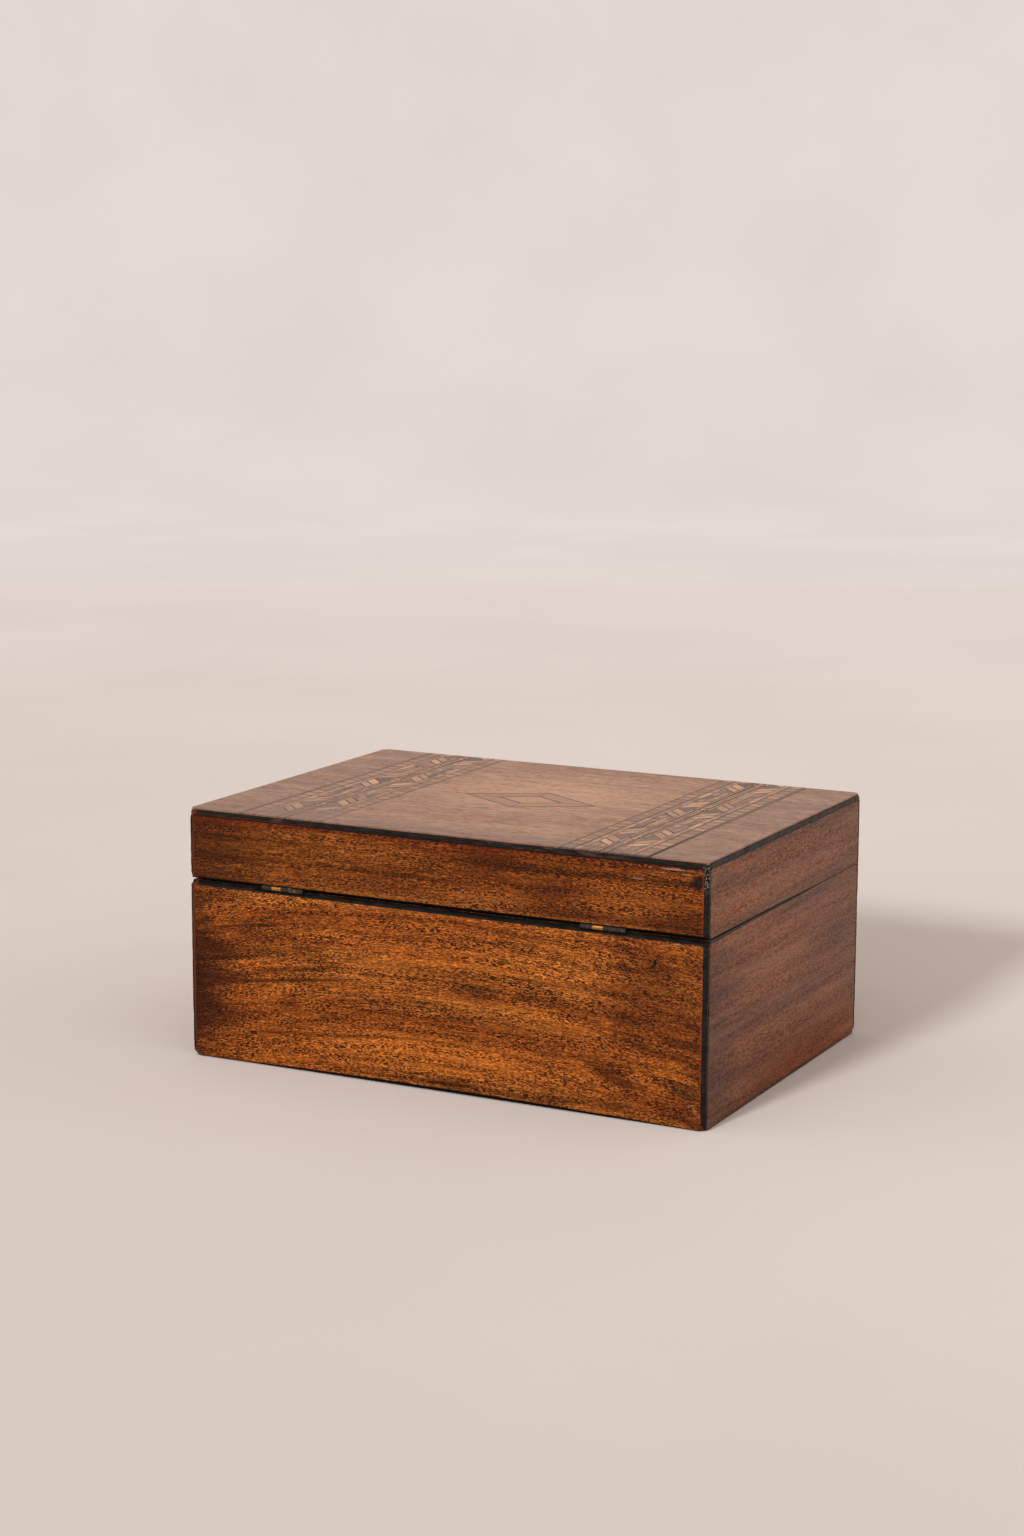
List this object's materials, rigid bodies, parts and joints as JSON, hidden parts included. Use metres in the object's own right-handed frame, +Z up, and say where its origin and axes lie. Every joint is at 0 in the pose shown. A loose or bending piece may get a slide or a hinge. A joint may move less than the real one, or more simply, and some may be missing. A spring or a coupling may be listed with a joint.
{
  "type": "inlaid wooden box",
  "caption": "Lidded mahogany box with ebonised edges, brass butt hinges, a link lock and geometric parquetry bands and a lozenge let into the lid",
  "frame": {"origin": "middle of the underside", "axes": "+X along the width, to the right seen from the lock side; +Y to the hinge side; +Z up"},
  "size_m": [0.3, 0.21, 0.136],
  "materials": {
    "mahogany": "french polished, worn",
    "walnut_veneer": "waxed, worn",
    "walnut_inlay": "waxed, worn",
    "light_inlay": "waxed, worn",
    "dark_inlay": "waxed, worn",
    "ebonised": "black stained, worn",
    "brass": "tarnished",
    "steel": "dull"
  },
  "bodies": {
    "base": {"base_back_board": "mahogany", "base_bottom_board": "mahogany", "base_corner_strings": "ebonised", "base_front_board": "mahogany", "base_left_board": "mahogany", "base_right_board": "mahogany", "base_rim_string": "ebonised", "hinge_left_base_leaf": "brass", "hinge_left_base_screws": "brass", "hinge_left_pin": "brass", "hinge_right_base_leaf": "brass", "hinge_right_base_screws": "brass", "hinge_right_pin": "brass", "keyhole_escutcheon": "brass", "lock_case": "brass", "lock_cover": "brass", "lock_key_pin": "steel", "lock_screws": "brass"},
    "lid": {"hinge_left_lid_leaf": "brass", "hinge_left_lid_screws": "brass", "hinge_right_lid_leaf": "brass", "hinge_right_lid_screws": "brass", "left_band_border_dark": "dark_inlay", "left_band_border_light": "light_inlay", "left_band_dark_ground": "dark_inlay", "left_band_lines": "ebonised", "left_band_petal_slips": "dark_inlay", "left_band_petals": "light_inlay", "left_band_star_dark": "dark_inlay", "left_band_star_light": "light_inlay", "left_band_walnut": "walnut_inlay", "lid_back_board": "mahogany", "lid_back_nail": "steel", "lid_centre_veneer": "walnut_veneer", "lid_corner_strings": "ebonised", "lid_front_board": "mahogany", "lid_left_board": "mahogany", "lid_left_veneer": "walnut_veneer", "lid_right_board": "mahogany", "lid_right_veneer": "walnut_veneer", "lid_rim_string": "ebonised", "lid_top_board": "mahogany", "lid_top_strings": "ebonised", "lock_link_plate": "brass", "lock_link_screws": "brass", "lozenge_centre": "light_inlay", "lozenge_frame": "walnut_inlay", "lozenge_inner_line": "ebonised", "lozenge_outer_line": "ebonised", "right_band_border_dark": "dark_inlay", "right_band_border_light": "light_inlay", "right_band_dark_ground": "dark_inlay", "right_band_lines": "ebonised", "right_band_petal_slips": "dark_inlay", "right_band_petals": "light_inlay", "right_band_star_dark": "dark_inlay", "right_band_star_light": "light_inlay", "right_band_walnut": "walnut_inlay"},
    "bolt": {"lock_bolt": "steel"}
  },
  "joints": [
    {"name": "lid_hinge", "type": "hinge", "parent": "base", "child": "lid", "pos_m": [0, 0.10325, 0.09695], "axis": [-1, 0, 0], "range_deg": [0, 100]},
    {"name": "bolt_slide", "type": "slide", "parent": "base", "child": "bolt", "axis": [1, 0, 0], "range_m": [0, 0.005]}
  ]
}
